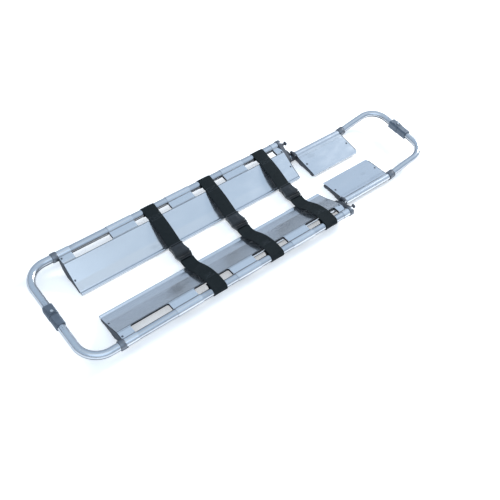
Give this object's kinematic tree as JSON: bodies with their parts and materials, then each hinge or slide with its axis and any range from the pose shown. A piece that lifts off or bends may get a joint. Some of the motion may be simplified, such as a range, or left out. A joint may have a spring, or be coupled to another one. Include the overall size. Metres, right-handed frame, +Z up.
{
  "type": "folding scoop stretcher",
  "caption": "Aluminium scoop stretcher in two halves that part lengthways, with a foot section that slides in and folds up, and webbing straps with buckles.",
  "frame": {"origin": "middle of the footprint on the ground, with the foot section slid in and laid flat", "axes": "+X towards the foot end, +Y towards the patient's left, +Z up"},
  "size_m": [1.601, 0.4446, 0.079],
  "materials": {
    "tube": "satin drawn tube",
    "blade": "mill-finished extruded panel, finely ribbed",
    "casting": "sand-cast, dark grey",
    "steel": "turned steel",
    "nylon": "moulded, fine grained",
    "webbing": "woven polyester webbing"
  },
  "bodies": {
    "left_half": {"left_main_rail": "tube", "left_main_blade": "blade", "left_head_rib": "casting", "left_foot_bracket": "casting", "left_guide_tube": "tube", "left_guide_bush": "nylon", "left_lock_pivot": "steel", "head_coupling_socket": "casting", "strap_1_left_web": "webbing", "strap_1_buckle_socket": "nylon", "strap_2_left_web": "webbing", "strap_2_buckle_socket": "nylon", "strap_3_left_web": "webbing", "strap_3_buckle_socket": "nylon"},
    "left_slide": {"left_slide_tube": "tube", "left_slide_stop": "nylon", "left_hinge_fork": "casting", "left_hinge_pin": "steel"},
    "left_foot": {"left_foot_head_rib": "casting", "left_foot_rail": "tube", "left_foot_blade": "blade", "left_foot_end_rib": "casting", "foot_coupling_socket": "casting"},
    "left_lock": {"left_lock_lever": "casting"},
    "right_half": {"right_main_rail": "tube", "right_main_blade": "blade", "right_head_rib": "casting", "right_foot_bracket": "casting", "right_guide_tube": "tube", "right_guide_bush": "nylon", "right_lock_pivot": "steel", "head_coupling_spigot": "casting", "head_latch_spring": "steel", "strap_1_right_web": "webbing", "strap_1_buckle_tongue": "nylon", "strap_2_right_web": "webbing", "strap_2_buckle_tongue": "nylon", "strap_3_right_web": "webbing", "strap_3_buckle_tongue": "nylon"},
    "right_slide": {"right_slide_tube": "tube", "right_slide_stop": "nylon", "right_hinge_fork": "casting", "right_hinge_pin": "steel"},
    "right_foot": {"right_foot_head_rib": "casting", "right_foot_rail": "tube", "right_foot_blade": "blade", "right_foot_end_rib": "casting", "foot_coupling_spigot": "casting", "foot_latch_spring": "steel"},
    "right_lock": {"right_lock_lever": "casting"},
    "head_latch": {"head_latch_button": "steel"},
    "foot_latch": {"foot_latch_button": "steel"}
  },
  "joints": [
    {"name": "halves_apart", "type": "slide", "parent": "left_half", "child": "right_half", "axis": [0, -1, 0], "range_m": [0, 0.25]},
    {"name": "foot_extend", "type": "slide", "parent": "left_half", "child": "left_slide", "axis": [1, 0, 0], "range_m": [0, 0.4]},
    {"name": "right_foot_extend", "type": "slide", "parent": "right_half", "child": "right_slide", "axis": [1, 0, 0], "range_m": [0, 0.4]},
    {"name": "foot_fold", "type": "hinge", "parent": "left_slide", "child": "left_foot", "pos_m": [0.3375, 0.144, 0.038], "axis": [0, -1, 0], "range_deg": [0, 160]},
    {"name": "right_foot_fold", "type": "hinge", "parent": "right_slide", "child": "right_foot", "pos_m": [0.3375, -0.144, 0.038], "axis": [0, -1, 0], "range_deg": [0, 160]},
    {"name": "head_latch_press", "type": "slide", "parent": "right_half", "child": "head_latch", "axis": [0, 0, -1], "range_m": [0, 0.005], "stiffness_N_per_m": 600},
    {"name": "foot_latch_press", "type": "slide", "parent": "right_foot", "child": "foot_latch", "axis": [0, 0, -1], "range_m": [0, 0.005], "stiffness_N_per_m": 600},
    {"name": "left_lock_engage", "type": "hinge", "parent": "left_half", "child": "left_lock", "pos_m": [0.3215, 0.182, 0.038], "axis": [1, 0, 0], "range_deg": [0, 8]},
    {"name": "right_lock_engage", "type": "hinge", "parent": "right_half", "child": "right_lock", "pos_m": [0.3215, -0.182, 0.038], "axis": [-1, 0, 0], "range_deg": [0, 8]}
  ],
  "couplings": [
    {"joint": "right_foot_extend", "follows": "foot_extend", "ratio": 1},
    {"joint": "right_foot_fold", "follows": "foot_fold", "ratio": 1}
  ]
}
